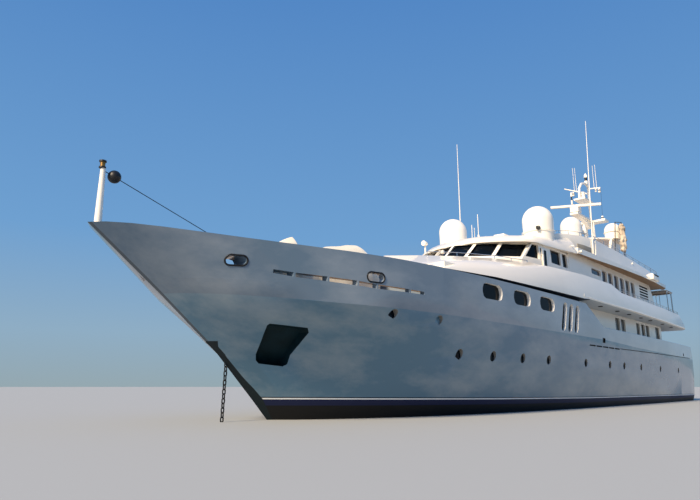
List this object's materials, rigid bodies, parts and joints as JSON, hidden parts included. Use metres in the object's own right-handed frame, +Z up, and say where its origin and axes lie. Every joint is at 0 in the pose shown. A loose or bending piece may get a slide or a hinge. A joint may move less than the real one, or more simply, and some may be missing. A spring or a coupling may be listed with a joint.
{
  "type": "motor yacht, 1:2 scale model",
  "caption": "White long-range motor yacht afloat, with flared bow, stepped bulwark, wheelhouse, sun deck, mast and domes, as a half-size model.",
  "frame": {"origin": "amidships on the centreline, at the waterline", "axes": "+X forward to the bow, +Y to port, +Z up"},
  "size_m": [24.875, 4.7778, 10.645],
  "materials": {
    "hull_paint": "gloss white topside paint",
    "house_paint": "gloss warm white paint",
    "antifouling": "matt black bottom paint",
    "bronze": "polished bronze",
    "teak": "caulked teak",
    "galvanised": "worn galvanised steel",
    "stainless": "polished stainless steel",
    "black_plastic": "matt black",
    "canvas": "acrylic canvas",
    "tan_canvas": "faded tan canvas",
    "gel_coat": "glass fibre with gel coat",
    "dark_glass": "tinted glass"
  },
  "bodies": {
    "ship": {"hull": "hull_paint", "topsides": "hull_paint", "fore_bulwark": "hull_paint", "aft_bulwark": "hull_paint", "shaft_port": "bronze", "shaft_starboard": "bronze", "swim_platform": "teak", "anchor_chain": "galvanised", "jackstaff": "house_paint", "windlass": "stainless", "covered_tender": "canvas", "covered_craft": "canvas", "upper_deck": "house_paint", "main_saloon": "house_paint", "main_saloon_glass": "dark_glass", "wheelhouse": "house_paint", "wheelhouse_glass": "dark_glass", "sky_lounge": "house_paint", "sky_lounge_glass": "dark_glass", "wheelhouse_roof": "house_paint", "sun_deck": "house_paint", "hardtop": "house_paint", "mast": "house_paint", "dome_fore_port": "gel_coat", "dome_fore_starboard": "gel_coat", "dome_side_port": "gel_coat", "dome_aft": "gel_coat", "awning_frame": "stainless", "aft_awning": "canvas", "lashed_bundle": "tan_canvas"},
    "propeller_port": {"propeller_port": "bronze"},
    "propeller_starboard": {"propeller_starboard": "bronze"},
    "rudder_port": {"rudder_port": "antifouling"},
    "rudder_starboard": {"rudder_starboard": "antifouling"},
    "stabiliser_port": {"stabiliser_port": "antifouling"},
    "stabiliser_starboard": {"stabiliser_starboard": "antifouling"},
    "garage_door": {"garage_door": "hull_paint"},
    "foredeck_hatch": {"foredeck_hatch": "house_paint"},
    "saloon_door_port": {"saloon_door_port": "dark_glass"},
    "saloon_door_starboard": {"saloon_door_starboard": "dark_glass"},
    "lounge_door_port": {"lounge_door_port": "dark_glass"},
    "lounge_door_starboard": {"lounge_door_starboard": "dark_glass"},
    "wheelhouse_door_port": {"wheelhouse_door_port": "house_paint"},
    "wheelhouse_door_starboard": {"wheelhouse_door_starboard": "house_paint"},
    "radar_scanner": {"radar_scanner": "house_paint"}
  },
  "joints": [
    {"name": "propeller_port_spin", "type": "hinge", "parent": "ship", "child": "propeller_port", "pos_m": [-10.3, 0.875, -0.86], "axis": [1, 0, 0], "continuous": true},
    {"name": "propeller_starboard_spin", "type": "hinge", "parent": "ship", "child": "propeller_starboard", "pos_m": [-10.3, -0.875, -0.86], "axis": [1, 0, 0], "continuous": true},
    {"name": "rudder_port_turn", "type": "hinge", "parent": "ship", "child": "rudder_port", "pos_m": [-11.05, 0.875, -0.6], "axis": [0, 0, 1], "range_deg": [-35, 35]},
    {"name": "rudder_starboard_turn", "type": "hinge", "parent": "ship", "child": "rudder_starboard", "pos_m": [-11.05, -0.875, -0.6], "axis": [0, 0, 1], "range_deg": [-35, 35]},
    {"name": "stabiliser_port_tilt", "type": "hinge", "parent": "ship", "child": "stabiliser_port", "pos_m": [-0.75, 1.495, -0.815], "axis": [0, 0.7071, -0.7071], "range_deg": [-20, 20]},
    {"name": "stabiliser_starboard_tilt", "type": "hinge", "parent": "ship", "child": "stabiliser_starboard", "pos_m": [-0.75, -1.495, -0.815], "axis": [0, -0.7071, -0.7071], "range_deg": [-20, 20]},
    {"name": "garage_door_swing", "type": "hinge", "parent": "ship", "child": "garage_door", "pos_m": [-11.9515, 0, 0.4503], "axis": [0, -1, 0], "range_deg": [0, 79]},
    {"name": "foredeck_hatch_swing", "type": "hinge", "parent": "ship", "child": "foredeck_hatch", "pos_m": [10.005, 0, 2.0856], "axis": [0, -1, 0], "range_deg": [0, 80]},
    {"name": "saloon_door_port_slide", "type": "slide", "parent": "ship", "child": "saloon_door_port", "axis": [0, 1, 0], "range_m": [0, 0.5]},
    {"name": "saloon_door_starboard_slide", "type": "slide", "parent": "ship", "child": "saloon_door_starboard", "axis": [0, -1, 0], "range_m": [0, 0.5]},
    {"name": "lounge_door_port_slide", "type": "slide", "parent": "ship", "child": "lounge_door_port", "axis": [0, 1, 0], "range_m": [0, 0.5]},
    {"name": "lounge_door_starboard_slide", "type": "slide", "parent": "ship", "child": "lounge_door_starboard", "axis": [0, -1, 0], "range_m": [0, 0.5]},
    {"name": "wheelhouse_door_port_swing", "type": "hinge", "parent": "ship", "child": "wheelhouse_door_port", "pos_m": [1.735, 1.74, 3.4], "axis": [0, 0, -1], "range_deg": [0, 90]},
    {"name": "wheelhouse_door_starboard_swing", "type": "hinge", "parent": "ship", "child": "wheelhouse_door_starboard", "pos_m": [1.735, -1.74, 3.4], "axis": [0, 0, 1], "range_deg": [0, 90]},
    {"name": "radar_scanner_spin", "type": "hinge", "parent": "ship", "child": "radar_scanner", "pos_m": [-5.75, 0, 7.12], "axis": [0, 0, 1], "continuous": true}
  ],
  "couplings": [
    {"joint": "rudder_starboard_turn", "follows": "rudder_port_turn", "ratio": 1}
  ]
}
